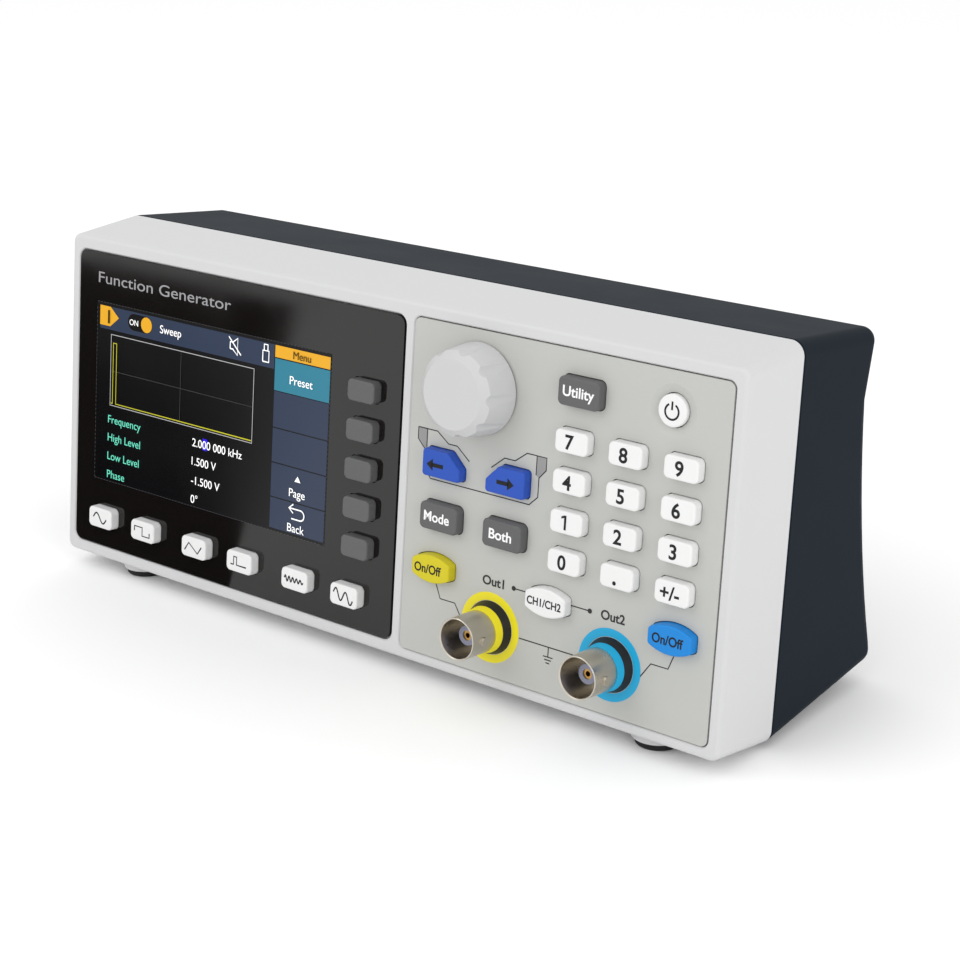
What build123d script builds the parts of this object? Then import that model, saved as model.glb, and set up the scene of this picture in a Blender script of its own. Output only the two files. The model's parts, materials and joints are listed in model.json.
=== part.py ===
from build123d import *
import os

# Function generator: a bench instrument with a colour screen and softkeys on the left, a knob and a
# keypad on the right, and two bayonet outputs along the bottom.
#
# Everything is drawn in a design frame: X across the front, Y from the front plane into the case, and
# Z up from the underside of the front frame. At the end the whole instrument leans back on its feet.

# Case, all in millimetres
CASE_X = -0.5
FRONT_WIDTH, SEAM_WIDTH = 201.0, 203.0
FRONT_LOW, SEAM_LOW = 0.0, -1.5
FRONT_TOP, SEAM_TOP = 83.1, 86.5
SEAM_Y = 20.0
FRONT_CORNER = 2.2
CASE_CORNER = 3.4
WALL = 2.2
RIM_FILLET = 1.0
SEAM_FILLET = 0.3
SEAM_CHAMFER = 0.5
LEAN = 5.5

# Rear case: side profile as depth, height
TOP_SLOPE = -0.027
UNDERSIDE_SLOPE = 0.187
REAR_LIP_Y = 53.3
REAR_NECK = (50.6, 70.0)
REAR_BELLY = (54.0, 46.0)
REAR_TAIL = (63.4, 12.0)
REAR_HEEL_Y = 64.8
TOP_REAR_FILLET = 2.5
HEEL_FILLET = 3.0
OPEN_BACK = 75.0

# Connector bay in the back, and what sits in it
BAY_HALF_WIDTH = 78.0
BAY_LOW, BAY_HIGH = 12.0, 70.0
BAY_Y = 48.5
BAY_CORNER = 3.0
CONNECTOR_Z = 38.0
INLET_X = -48.0
USB_X = 68.0
VENT_COUNT = 11
VENT_PITCH = 6.0
VENT_X = 10.0
VENT_SIZE = (2.4, 14.0)
VENT_Z = 59.0
INLET_BODY = (27.0, 20.0)
INLET_FLANGE = (31.0, 24.0)
INLET_MOUTH = (24.4, 16.4)
INLET_DEPTH = 16.0
INLET_FLANGE_THICK = 2.0
INLET_CHAMFER = 4.0
PIN_SPREAD, PIN_DROP = 7.0, 4.0
PIN_HALF = (1.0, 2.0)
PIN_LENGTH, PIN_TAIL = 10.5, 4.0
USB_BODY = (12.0, 11.0)
USB_MOUTH = (8.6, 7.9)
USB_MOUTH_CHAMFER = 1.6
USB_TONGUE = (5.6, 3.2)
USB_FRONT = BAY_Y + 0.5
USB_DEPTH = 15.0
USB_RECESS = 3.0
USB_CAVITY = 9.0

# Front: two recesses in the frame, each holding a plate
PLATE_DEPTH = 1.4
FRAME_BACK = 3.2
WINDOW = (-98.3, 10.9, 3.0, 79.8)
WINDOW_CORNER = 2.5
WINDOW_GAP = 0.4
PANEL = (13.4, 97.3, 2.4, 80.2)
PANEL_CORNER = 1.8
PANEL_GAP = 0.25
SCREEN = (-92.0, -10.0, 20.3, 68.0)
SCREEN_CORNER = 1.0
LIP = 0.3

# Keys
RISE = 2.4
DRAFT = 1.5
KEY_EDGE = 0.45
KEY_CORNER = 1.3
KEY_CLEARANCE = 0.2
KEY_TRAVEL = 0.8
FLANGE = 0.8
FLANGE_GAP = 0.2
FLANGE_THICK = 1.0
SOFT_KEY = (8.2, 5.2)
SOFT_X = 0.3
SOFT_TOP_Z = 60.6
SOFT_PITCH = 9.25
WAVE_KEY = (8.5, 5.3)
WAVE_Z = 11.35
WAVE_X = -86.25
WAVE_PAIR = 15.75
WAVE_STEP = 34.15 - WAVE_PAIR
WAVE_NAMES = ["sine_key", "square_key", "ramp_key", "pulse_key", "noise_key", "arbitrary_key"]
NUMBER_KEY = (8.5, 5.15)
NUMBER_X, NUMBER_Z = 59.6, 60.5
NUMBER_PITCH_X, NUMBER_PITCH_Z = 13.8, 8.8
NUMBER_NAMES = ["7", "8", "9", "4", "5", "6", "1", "2", "3", "0", "point", "sign"]
MENU_KEY = (10.7, 6.35)
UTILITY_X, UTILITY_Z = 60.65, 71.3
MENU_X = (24.8, 42.7)
MENU_Z = 36.2
ARROW_Z = 48.35
ARROW_CUT_X, ARROW_CUT_Z = 3.5, 3.4
LENS_KEY = (10.85, 6.5)
LENS_SIDE = 3.5
LENS_CORNER = 0.9
LENS_X, LENS_Z = 55.4, 24.0
LENS_SPREAD = 32.1

# Power button in its dish
POWER_X, POWER_Z = 82.95, 71.6
POWER_R, POWER_RISE = 3.5, 0.6
DISH_R, DISH_DEPTH = 5.6, 0.6

# Knob and rotary encoder
KNOB_X, KNOB_Z = 32.6, 66.95
KNOB_BASE_R, KNOB_RIM_R, KNOB_FACE_R = 10.4, 9.55, 7.8
KNOB_FRONT, KNOB_RIM_Y, KNOB_GAP = 9.7, 8.2, 0.4
KNOB_EDGE = 0.5
KNOB_WALL = 3.0
KNOB_CROWN = 1.5
FLUTES = 9
FLUTE_R = 1.9
FLUTE_FRONT_R, FLUTE_BACK_R = 10.35, 12.35
SHAFT_R, SHAFT_CLEARANCE = 3.0, 0.04
SHAFT_END = 6.2
BUSH_R, BUSH_FRONT = 3.5, 3.5
ENCODER = (12.5, 13.0)
ENCODER_NUT_AF, ENCODER_NUT_THICK = 10.0, 2.0

# Outputs
OUTPUT_X = (39.3, 71.7)
OUTPUT_Z = 13.9
BARREL_R, BARREL_BORE = 4.8, 4.35
BARREL_LEAD, BARREL_ROUND = 0.2, 0.12
BARREL_FRONT = 11.85
BARREL_FLOOR = 3.0
SHANK_R, SHANK_END = 4.7, 14.0
LUG_R, LUG_REACH, LUG_Y = 1.0, 5.5, -8.4
INSULATOR_R, INSULATOR_FRONT = 2.2, 8.05
CONTACT_R, CONTACT_BORE, CONTACT_END = 1.15, 0.6, 18.0
CONTACT_SETBACK = 0.3
SPACER_R, SPACER_FACE_R, SPACER_FRONT = 6.1, 5.4, 2.0
RING_R, RING_FACE_R, RING_FRONT = 5.3, 4.98, 4.0
OUTPUT_NUT_AF, OUTPUT_NUT_THICK = 13.0, 2.5
HOLE_PLAY = 0.15

# Boards behind the front
BOARD_THICK = 1.6
BOARD_FRONT = 9.8
MAT_FRONT = 8.6
FRONT_BOARD, FRONT_BOARD_Z = (190.0, 70.0), 41.0
MAIN_BOARD, MAIN_BOARD_Z = (166.0, 62.0), 44.0
POWER_BOARD, POWER_BOARD_X, POWER_BOARD_Z = (84.0, 46.0), 15.0, 42.0
BOARD_CORNER = 2.0
OUTPUT_ROOM, ENCODER_ROOM = 3.0, 2.0
DOME = (5.0, 3.2)
DOME_FRONT = FRAME_BACK + FLANGE_GAP + FLANGE_THICK + KEY_TRAVEL + 0.1
MAIN_BOARD_Y = 24.0
POWER_BOARD_Y = 31.0
# Blocks on the boards: x, z, width, height, thickness
MAIN_BLOCKS = [(-50, 52, 22, 22, 2.0), (-15, 50, 14, 14, 1.6), (20, 56, 10, 10, 1.6), (55, 50, 18, 12, 4.5)]
POWER_BLOCKS = [(-8, 34, 26, 22, 12.5), (20, 34, 14, 20, 11.0), (42, 36, 10, 24, 9.0)]
LCD = (-94.0, -8.0, 18.0, 70.0)
LCD_BACK = 7.9
LCD_SHEET = 0.5

# Screws that hold the two halves, and the feet
SCREW_X, SCREW_Z = 91.0, (16.0, 74.0)
BOSS_R, BOSS_FRONT = 4.3, 12.5
WEB_HALF, WEB_REACH = 2.0, 100.0
SCREW_HOLE_FRONT, SCREW_FRONT = 14.5, 15.5
SCREW_R, HEAD_R, HEAD_THICK = 1.48, 2.8, 2.2
HEAD_SEAT = 27.0
CROSS_HALF = (1.6, 0.35)
CROSS_DEPTH = 1.0
FOOT_X, FOOT_Y = 80.0, (9.0, 55.0)
FOOT_R, FOOT_HEIGHT, FOOT_EDGE = 5.2, 1.8, 0.5
PAD_R, PAD_TOP = 6.0, 0.5
LIFT = 4.5
STAND = Pos(0, 0, LIFT) * Rot(-LEAN, 0, 0)


# ---------------------------------------------------------------- helpers
def plate(outline, front, back):
    """A sketch in X, Z made solid between two depths."""
    return extrude(Pos(0, back, 0) * (Plane.XZ * outline), back - front)


def rectangle(size, corner):
    return RectangleRounded(size[0], size[1], corner)


def region(limits, corner, inset=0.0):
    """A rounded rectangle between two X and two Z, drawn in by the inset."""
    low_x, high_x, low_z, high_z = limits
    size = (high_x - low_x - 2 * inset, high_z - low_z - 2 * inset)
    return Pos((low_x + high_x) / 2, (low_z + high_z) / 2) * rectangle(size, corner)


def rod(radius, front, back):
    """A round bar along Y on the origin's axis."""
    return plate(Circle(radius), front, back)


def taper(front_radius, back_radius, front, back):
    """A cone along Y on the origin's axis."""
    cone = Cone(back_radius, front_radius, back - front)
    return Pos(0, (front + back) / 2, 0) * (Rot(90, 0, 0) * cone)


def block(low, high):
    size = [b - a for a, b in zip(low, high)]
    middle = [(a + b) / 2 for a, b in zip(low, high)]
    return Pos(*middle) * Box(*size)


def at(x, z, shape):
    return Pos(x, 0, z) * shape


def hexagon(across_flats):
    return RegularPolygon(across_flats / 2, 6, major_radius=False)


# ---------------------------------------------------------------- key outlines
def lens_outline():
    """Upright sides, with bowed top and bottom edges."""
    half, side, top = LENS_KEY[0] / 2, LENS_SIDE / 2, LENS_KEY[1] / 2
    path = [
        ThreePointArc((-half, side), (0, top), (half, side)),
        Line((half, side), (half, -side)),
        ThreePointArc((half, -side), (0, -top), (-half, -side)),
        Line((-half, -side), (-half, side)),
    ]
    outline = make_face(path)
    return fillet(outline.vertices(), LENS_CORNER)


def arrow_outline(cut_side):
    """A rectangle with its upper inner corner cut off; cut_side is +1 for the right corner."""
    half, top = MENU_KEY[0] / 2, MENU_KEY[1] / 2
    cut = [(half, top - ARROW_CUT_Z), (half - ARROW_CUT_X, top)]
    points = [(-half, -top), (half, -top), *cut, (-half, top)]
    outline = make_face(Polyline(*[(cut_side * x, z) for x, z in points], close=True))
    return fillet(outline.vertices(), LENS_CORNER)


# name: outline, x, z, how far the cap stands out
KEYS = {}
for row in range(5):
    z = SOFT_TOP_Z - row * SOFT_PITCH
    KEYS[f"soft_key_{row + 1}"] = (rectangle(SOFT_KEY, KEY_CORNER), SOFT_X, z, RISE)
for place, name in enumerate(WAVE_NAMES):
    x = WAVE_X + WAVE_PAIR * ((place + 1) // 2) + WAVE_STEP * (place // 2)
    KEYS[name] = (rectangle(WAVE_KEY, KEY_CORNER), x, WAVE_Z, RISE)
for place, name in enumerate(NUMBER_NAMES):
    x = NUMBER_X + NUMBER_PITCH_X * (place % 3)
    z = NUMBER_Z - NUMBER_PITCH_Z * (place // 3)
    KEYS[f"number_key_{name}"] = (rectangle(NUMBER_KEY, KEY_CORNER), x, z, RISE)
KEYS["utility_key"] = (rectangle(MENU_KEY, KEY_CORNER), UTILITY_X, UTILITY_Z, RISE)
KEYS["mode_key"] = (rectangle(MENU_KEY, KEY_CORNER), MENU_X[0], MENU_Z, RISE)
KEYS["both_key"] = (rectangle(MENU_KEY, KEY_CORNER), MENU_X[1], MENU_Z, RISE)
KEYS["left_key"] = (arrow_outline(1), MENU_X[0], ARROW_Z, RISE)
KEYS["right_key"] = (arrow_outline(-1), MENU_X[1], ARROW_Z, RISE)
KEYS["output_1_key"] = (lens_outline(), LENS_X - LENS_SPREAD, LENS_Z, RISE)
KEYS["channel_key"] = (lens_outline(), LENS_X, LENS_Z, RISE)
KEYS["output_2_key"] = (lens_outline(), LENS_X + LENS_SPREAD, LENS_Z, RISE)
KEYS["power_button"] = (Circle(POWER_R), POWER_X, POWER_Z, POWER_RISE)


def key(outline, x, z, rise):
    """A cap that tapers above the panel, a stem through the frame, and a flange that keeps it in."""
    shoulder = FRAME_BACK + FLANGE_GAP
    stem = plate(outline, 0, shoulder)
    cap = extrude(Plane.XZ * outline, rise, taper=DRAFT)
    flange = plate(offset(outline, FLANGE), shoulder, shoulder + FLANGE_THICK)
    whole = stem + cap + flange
    return at(x, z, fillet(whole.faces().sort_by(Axis.Y)[0].edges(), KEY_EDGE))


def key_holes(names, front, back):
    """What is taken from a plate so that the keys pass through it."""
    holes = []
    for name in names:
        outline, x, z, _ = KEYS[name]
        holes.append(at(x, z, plate(offset(outline, KEY_CLEARANCE), front, back)))
    return holes


LEFT_KEYS = [name for name in KEYS if name.startswith("soft") or name in WAVE_NAMES]
RIGHT_KEYS = [name for name in KEYS if name not in LEFT_KEYS]


# ---------------------------------------------------------------- case halves
def underside(depth):
    return SEAM_LOW + (depth - SEAM_Y) * UNDERSIDE_SLOPE


def top(depth):
    return SEAM_TOP + (depth - SEAM_Y) * TOP_SLOPE


def rear_profile(front):
    """Side view of the rear case from a given depth to its back."""
    heel = (REAR_HEEL_Y, underside(REAR_HEEL_Y))
    lip = (REAR_LIP_Y, top(REAR_LIP_Y))
    path = [
        Line((front, underside(front)), heel),
        Line(heel, REAR_TAIL),
        ThreePointArc(REAR_TAIL, REAR_BELLY, REAR_NECK),
        Line(REAR_NECK, lip),
        Line(lip, (front, top(front))),
        Line((front, top(front)), (front, underside(front))),
    ]
    outline = make_face(path)
    outline = fillet(outline.vertices().sort_by_distance(lip)[0], TOP_REAR_FILLET)
    return fillet(outline.vertices().sort_by_distance(heel)[0], HEEL_FILLET)


def rear_body(front, inset):
    """The rear case as a full solid, drawn in by the inset on every side but the front."""
    outline = rear_profile(front)
    if inset:
        outline = offset(outline, -inset)
    body = extrude(Plane.YZ * outline, SEAM_WIDTH / 2 - inset, both=True)
    open_end = body.faces().sort_by(Axis.Y)[0]
    rims = [body.faces().sort_by(Axis.X)[0], body.faces().sort_by(Axis.X)[-1]]
    edges = [edge for face in rims for edge in face.edges() if edge.center().Y > open_end.center().Y + 1]
    return at(CASE_X, 0, fillet(edges, CASE_CORNER - inset))


def standing(shape):
    """A shape drawn upright on the table, moved into the design frame."""
    return STAND.inverse() * shape


def foot_places():
    for side in (-1, 1):
        for depth in FOOT_Y:
            level = STAND * Vertex(CASE_X + side * FOOT_X, depth, 0)
            yield level.X, level.Y


def foot_pads():
    tall = 2 * LIFT
    return [standing(Pos(x, y, FOOT_HEIGHT + tall / 2) * Cylinder(PAD_R, tall)) for x, y in foot_places()]


def screw_places():
    return [(CASE_X + side * SCREW_X, z) for side in (-1, 1) for z in SCREW_Z]


def frame_slice(depth, inset):
    """The outline of the front frame at a depth, drawn in by the inset."""
    share = depth / SEAM_Y
    width = FRONT_WIDTH + (SEAM_WIDTH - FRONT_WIDTH) * share
    low = FRONT_LOW + (SEAM_LOW - FRONT_LOW) * share
    high = FRONT_TOP + (SEAM_TOP - FRONT_TOP) * share
    corner = FRONT_CORNER + (CASE_CORNER - FRONT_CORNER) * share
    outline = rectangle((width - 2 * inset, high - low - 2 * inset), max(corner - inset, 1.0))
    return Pos(CASE_X, depth, (low + high) / 2) * (Plane.XZ * outline)


def lipped_recess(limits, corner):
    """The space for a plate in the frame, with a small lead-in around its mouth."""
    space = plate(region(limits, corner), 0, PLATE_DEPTH)
    mouth = Plane.XZ * region(limits, corner + LIP, -LIP)
    return space + loft([mouth, Pos(0, LIP, 0) * (Plane.XZ * region(limits, corner))], ruled=True)


def frame_bosses():
    """The pillars that take the case screws, each tied to the side wall, less the screw holes."""
    pillars = []
    for x, z in screw_places():
        wall = CASE_X + (WEB_REACH if x > CASE_X else -WEB_REACH)
        pillar = at(x, z, rod(BOSS_R, BOSS_FRONT, SEAM_Y))
        pillar += block((min(x, wall), BOSS_FRONT, z - WEB_HALF), (max(x, wall), SEAM_Y, z + WEB_HALF))
        pillars.append(pillar - at(x, z, rod(SCREW_R, SCREW_HOLE_FRONT, SEAM_Y)))
    return pillars


def front_frame():
    body = loft([frame_slice(0, 0), frame_slice(SEAM_Y, 0)], ruled=True)
    body = fillet(body.faces().sort_by(Axis.Y)[0].edges(), RIM_FILLET)
    body = fillet(body.faces().sort_by(Axis.Y)[-1].edges(), SEAM_FILLET)
    body -= loft([frame_slice(FRAME_BACK, WALL), frame_slice(SEAM_Y, WALL)], ruled=True)
    body -= lipped_recess(WINDOW, WINDOW_CORNER)
    body -= lipped_recess(PANEL, PANEL_CORNER)
    body -= plate(region(SCREEN, SCREEN_CORNER), PLATE_DEPTH, FRAME_BACK)
    body -= key_holes(KEYS, 0, FRAME_BACK)
    body -= at(KNOB_X, KNOB_Z, rod(BUSH_R + HOLE_PLAY, 0, FRAME_BACK))
    body -= [at(x, OUTPUT_Z, rod(SHANK_R + HOLE_PLAY, 0, FRAME_BACK)) for x in OUTPUT_X]
    body += frame_bosses()
    above = block((-SEAM_WIDTH, -SEAM_Y, PAD_TOP), (SEAM_WIDTH, 2 * SEAM_Y, SEAM_TOP))
    return body + [pad - above for pad in foot_pads() if pad.center().Y < SEAM_Y]


def connector_bay(front, grow):
    """The space at the back where the connectors sit, grown on all sides."""
    size = (2 * (BAY_HALF_WIDTH + grow), BAY_HIGH - BAY_LOW + 2 * grow)
    return at(CASE_X, (BAY_LOW + BAY_HIGH) / 2, plate(rectangle(size, BAY_CORNER + grow), front, OPEN_BACK))


def vents():
    slot = plate(rectangle(VENT_SIZE, VENT_SIZE[0] / 2 - 0.01), BAY_Y - WALL, BAY_Y)
    first = VENT_X - VENT_PITCH * (VENT_COUNT - 1) / 2
    return [at(first + VENT_PITCH * place, VENT_Z, slot) for place in range(VENT_COUNT)]


def rear_case():
    outside = rear_body(SEAM_Y, 0)
    inside = rear_body(SEAM_Y - 2 * CASE_CORNER, WALL)
    body = chamfer(outside.faces().sort_by(Axis.Y)[0].edges(), SEAM_CHAMFER)
    body = body - (inside - connector_bay(BAY_Y - WALL, WALL)) - connector_bay(BAY_Y, 0)
    for x, z in screw_places():
        body += outside & at(x, z, rod(BOSS_R, SEAM_Y, OPEN_BACK))
        body -= at(x, z, rod(SCREW_R + HOLE_PLAY, SEAM_Y, OPEN_BACK))
        body -= at(x, z, rod(HEAD_R + HOLE_PLAY, HEAD_SEAT, OPEN_BACK))
    body -= vents()
    body -= at(INLET_X, CONNECTOR_Z, plate(rectangle(INLET_BODY, 1.0), BAY_Y - WALL, BAY_Y))
    body -= at(USB_X, CONNECTOR_Z, plate(Rectangle(*USB_BODY), BAY_Y - WALL, BAY_Y))
    return body + [pad - inside for pad in foot_pads() if pad.center().Y > SEAM_Y]


# ---------------------------------------------------------------- plates on the front
def display_window():
    body = plate(region(WINDOW, WINDOW_CORNER - WINDOW_GAP, WINDOW_GAP), 0, PLATE_DEPTH)
    return body - key_holes(LEFT_KEYS, 0, PLATE_DEPTH)


def keypad_panel():
    body = plate(region(PANEL, PANEL_CORNER - PANEL_GAP, PANEL_GAP), 0, PLATE_DEPTH)
    body -= key_holes(RIGHT_KEYS, 0, PLATE_DEPTH)
    body -= at(POWER_X, POWER_Z, taper(DISH_R, POWER_R + KEY_CLEARANCE, 0, DISH_DEPTH))
    body -= at(KNOB_X, KNOB_Z, rod(BUSH_R + HOLE_PLAY, 0, PLATE_DEPTH))
    return body - [at(x, OUTPUT_Z, rod(SHANK_R + HOLE_PLAY, 0, PLATE_DEPTH)) for x in OUTPUT_X]


# ---------------------------------------------------------------- knob and encoder
def knob():
    body = taper(KNOB_RIM_R, KNOB_BASE_R, -KNOB_RIM_Y, -KNOB_GAP)
    body += taper(KNOB_FACE_R, KNOB_RIM_R, -KNOB_FRONT, -KNOB_RIM_Y)
    body = fillet(body.faces().sort_by(Axis.Y)[0].edges(), KNOB_EDGE)
    flute = loft([
        Pos(FLUTE_FRONT_R, -KNOB_FRONT - 1, 0) * (Plane.XZ * Circle(FLUTE_R)),
        Pos(FLUTE_BACK_R, 0, 0) * (Plane.XZ * Circle(FLUTE_R)),
    ], ruled=True)
    body -= [Rot(0, n * 360 / FLUTES, 0) * flute for n in range(FLUTES)]
    body -= rod(KNOB_BASE_R - KNOB_WALL, -BUSH_FRONT - 1, 0)
    body -= rod(SHAFT_R, KNOB_CROWN - KNOB_FRONT, 0)
    return at(KNOB_X, KNOB_Z, body)


def encoder():
    """The parts of the rotary encoder, by node."""
    bore = SHAFT_R + SHAFT_CLEARANCE
    body = plate(rectangle(ENCODER, 0.5), FRAME_BACK, BOARD_FRONT) - rod(bore, 0, SHAFT_END + 0.5)
    bushing = rod(BUSH_R, -BUSH_FRONT, FRAME_BACK) - rod(bore, -BUSH_FRONT, FRAME_BACK)
    nut = plate(hexagon(ENCODER_NUT_AF), -ENCODER_NUT_THICK, 0) - rod(BUSH_R, -ENCODER_NUT_THICK, 0)
    shaft = rod(SHAFT_R, KNOB_CROWN - KNOB_FRONT, SHAFT_END)
    parts = {"encoder_body": body, "encoder_bushing": bushing, "encoder_nut": nut, "encoder_shaft": shaft}
    return {name: at(KNOB_X, KNOB_Z, part) for name, part in parts.items()}


# ---------------------------------------------------------------- outputs
def output_shell():
    body = rod(BARREL_R, -BARREL_FRONT, 0) + rod(SHANK_R, 0, SHANK_END)
    lugs = Rot(0, 90, 0) * Cylinder(LUG_R, 2 * LUG_REACH)
    body += Pos(0, LUG_Y, 0) * lugs
    body -= rod(BARREL_BORE, -BARREL_FRONT, -BARREL_FLOOR)
    body -= rod(INSULATOR_R, -BARREL_FLOOR, SHANK_END)
    mouth = body.edges().filter_by(GeomType.CIRCLE).group_by(Axis.Y)[0].sort_by(SortBy.RADIUS)
    body = chamfer(mouth[0], BARREL_LEAD)
    rim = body.edges().filter_by(GeomType.CIRCLE).group_by(Axis.Y)[0].sort_by(SortBy.RADIUS)
    return fillet(rim[-1], BARREL_ROUND)


def output_insulator():
    body = rod(INSULATOR_R, -INSULATOR_FRONT, SHANK_END)
    return body - rod(CONTACT_R, -INSULATOR_FRONT, SHANK_END)


def output_contact():
    body = rod(CONTACT_R, CONTACT_SETBACK - INSULATOR_FRONT, CONTACT_END)
    return body - rod(CONTACT_BORE, -INSULATOR_FRONT, -BARREL_FLOOR)


def output_nut():
    back = FRAME_BACK + OUTPUT_NUT_THICK
    return plate(hexagon(OUTPUT_NUT_AF), FRAME_BACK, back) - rod(SHANK_R, FRAME_BACK, back)


def output_spacer():
    return taper(SPACER_FACE_R, SPACER_R, -SPACER_FRONT, 0) - rod(BARREL_R, -SPACER_FRONT, 0)


def output_ring():
    return taper(RING_FACE_R, RING_R, -RING_FRONT, -SPACER_FRONT) - rod(BARREL_R, -RING_FRONT, 0)


def on_outputs(shape):
    """The same piece on both outputs, as two separate solids."""
    return Compound([at(x, OUTPUT_Z, shape) for x in OUTPUT_X])


# ---------------------------------------------------------------- screen, mat and boards
def lcd_frame():
    body = plate(region(LCD, 1.0), FRAME_BACK, LCD_BACK)
    return body - plate(region(LCD, LCD_SHEET, LCD_SHEET), FRAME_BACK, LCD_BACK - LCD_SHEET)


def lcd_panel():
    gap = LCD_SHEET + 0.1
    return plate(region(LCD, LCD_SHEET, gap), FRAME_BACK, LCD_BACK - gap)


def front_board_outline():
    outline = Pos(0, FRONT_BOARD_Z) * rectangle(FRONT_BOARD, BOARD_CORNER)
    return outline - [Pos(x, OUTPUT_Z) * Circle(SHANK_R + OUTPUT_ROOM) for x in OUTPUT_X]


def key_mat():
    body = plate(front_board_outline(), MAT_FRONT, BOARD_FRONT)
    body -= plate(region(SCREEN, BOARD_CORNER, BOARD_CORNER), MAT_FRONT, BOARD_FRONT)
    encoder_room = rectangle((ENCODER[0] + ENCODER_ROOM, ENCODER[1] + ENCODER_ROOM), ENCODER_ROOM / 2)
    body -= at(KNOB_X, KNOB_Z, plate(encoder_room, MAT_FRONT, BOARD_FRONT))
    dome = plate(rectangle(DOME, 0.8), DOME_FRONT, MAT_FRONT)
    return body + [at(KEYS[name][1], KEYS[name][2], dome) for name in KEYS]


def key_board():
    return plate(front_board_outline(), BOARD_FRONT, BOARD_FRONT + BOARD_THICK)


def blocks_on(back, table):
    """Plain blocks that stand for the components on a board."""
    solids = []
    for x, z, wide, tall, thick in table:
        solids.append(block((x - wide / 2, back, z - tall / 2), (x + wide / 2, back + thick, z + tall / 2)))
    return solids


def main_board():
    back = MAIN_BOARD_Y + BOARD_THICK
    body = plate(Pos(0, MAIN_BOARD_Z) * rectangle(MAIN_BOARD, BOARD_CORNER), MAIN_BOARD_Y, back)
    return body + blocks_on(back, MAIN_BLOCKS)


def power_board():
    back = POWER_BOARD_Y + BOARD_THICK
    outline = Pos(POWER_BOARD_X, POWER_BOARD_Z) * rectangle(POWER_BOARD, BOARD_CORNER)
    return plate(outline, POWER_BOARD_Y, back) + blocks_on(back, POWER_BLOCKS)


# ---------------------------------------------------------------- connectors at the back
def power_inlet():
    face = BAY_Y + INLET_FLANGE_THICK
    floor = BAY_Y - INLET_DEPTH
    body = plate(rectangle(INLET_BODY, 1.0), floor, BAY_Y) + plate(rectangle(INLET_FLANGE, 2.0), BAY_Y, face)
    mouth = Rectangle(*INLET_MOUTH)
    upper = mouth.vertices().group_by(Axis.Y)[-1]
    body -= plate(chamfer(upper, INLET_CHAMFER), floor + WALL, face)
    body -= [Pos(x, 0, z) * pin_block(floor, floor + WALL) for x, z in pin_places()]
    return at(INLET_X, CONNECTOR_Z, body)


def pin_places():
    return [(-PIN_SPREAD, -PIN_DROP / 2), (0, PIN_DROP / 2), (PIN_SPREAD, -PIN_DROP / 2)]


def pin_block(front, back):
    wide, tall = PIN_HALF
    return block((-wide, front, -tall), (wide, back, tall))


def inlet_pins():
    floor = BAY_Y - INLET_DEPTH
    pin = pin_block(floor - PIN_TAIL, floor + WALL + PIN_LENGTH)
    return Compound([Pos(INLET_X + x, 0, CONNECTOR_Z + z) * pin for x, z in pin_places()])


def usb_socket():
    back = USB_FRONT - USB_DEPTH
    body = plate(Rectangle(*USB_BODY), back, USB_FRONT)
    mouth = Rectangle(*USB_MOUTH)
    floor = USB_FRONT - USB_CAVITY
    cavity = plate(chamfer(mouth.vertices().group_by(Axis.Y)[-1], USB_MOUTH_CHAMFER), floor, USB_FRONT)
    tongue = plate(Rectangle(*USB_TONGUE), floor, USB_FRONT - USB_RECESS)
    return at(USB_X, CONNECTOR_Z, body - (cavity - tongue))


# ---------------------------------------------------------------- screws and feet
def case_screws():
    back = HEAD_SEAT + HEAD_THICK
    wide, thin = CROSS_HALF
    screw = rod(SCREW_R, SCREW_FRONT, HEAD_SEAT) + rod(HEAD_R, HEAD_SEAT, back)
    bar = block((-wide, back - CROSS_DEPTH, -thin), (wide, back, thin))
    screw -= [bar, Rot(0, 90, 0) * bar]
    return Compound([at(x, z, screw) for x, z in screw_places()])


def rubber_feet():
    foot = Pos(0, 0, FOOT_HEIGHT / 2) * Cylinder(FOOT_R, FOOT_HEIGHT)
    foot = fillet(foot.edges().group_by(Axis.Z)[0], FOOT_EDGE)
    return Compound([standing(Pos(x, y, 0) * foot) for x, y in foot_places()])


# ---------------------------------------------------------------- assembly
NODES = {name: key(*KEYS[name]) for name in KEYS}
NODES.update(encoder())
NODES["front_frame"] = front_frame()
NODES["rear_case"] = rear_case()
NODES["display_window"] = display_window()
NODES["keypad_panel"] = keypad_panel()
NODES["knob"] = knob()
NODES["output_1_shell"] = at(OUTPUT_X[0], OUTPUT_Z, output_shell())
NODES["output_2_shell"] = at(OUTPUT_X[1], OUTPUT_Z, output_shell())
NODES["output_1_ring"] = at(OUTPUT_X[0], OUTPUT_Z, output_ring())
NODES["output_2_ring"] = at(OUTPUT_X[1], OUTPUT_Z, output_ring())
NODES["output_insulators"] = on_outputs(output_insulator())
NODES["output_contacts"] = on_outputs(output_contact())
NODES["output_nuts"] = on_outputs(output_nut())
NODES["output_spacers"] = on_outputs(output_spacer())
NODES["lcd_frame"] = lcd_frame()
NODES["lcd_panel"] = lcd_panel()
NODES["key_mat"] = key_mat()
NODES["key_board"] = key_board()
NODES["main_board"] = main_board()
NODES["power_board"] = power_board()
NODES["power_inlet"] = power_inlet()
NODES["inlet_pins"] = inlet_pins()
NODES["usb_socket"] = usb_socket()
NODES["case_screws"] = case_screws()
NODES["rubber_feet"] = rubber_feet()

# Lean back onto the feet, and centre the footprint on the origin
standing_nodes = {name: STAND * shape for name, shape in NODES.items()}
boxes = [shape.bounding_box() for shape in standing_nodes.values()]
left, right = min(box.min.X for box in boxes), max(box.max.X for box in boxes)
nearest, farthest = min(box.min.Y for box in boxes), max(box.max.Y for box in boxes)
centre = Pos(-(left + right) / 2, -(nearest + farthest) / 2, 0)
print("left", left, "right", right, "front", nearest, "back", farthest, "top", max(box.max.Z for box in boxes))

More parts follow.
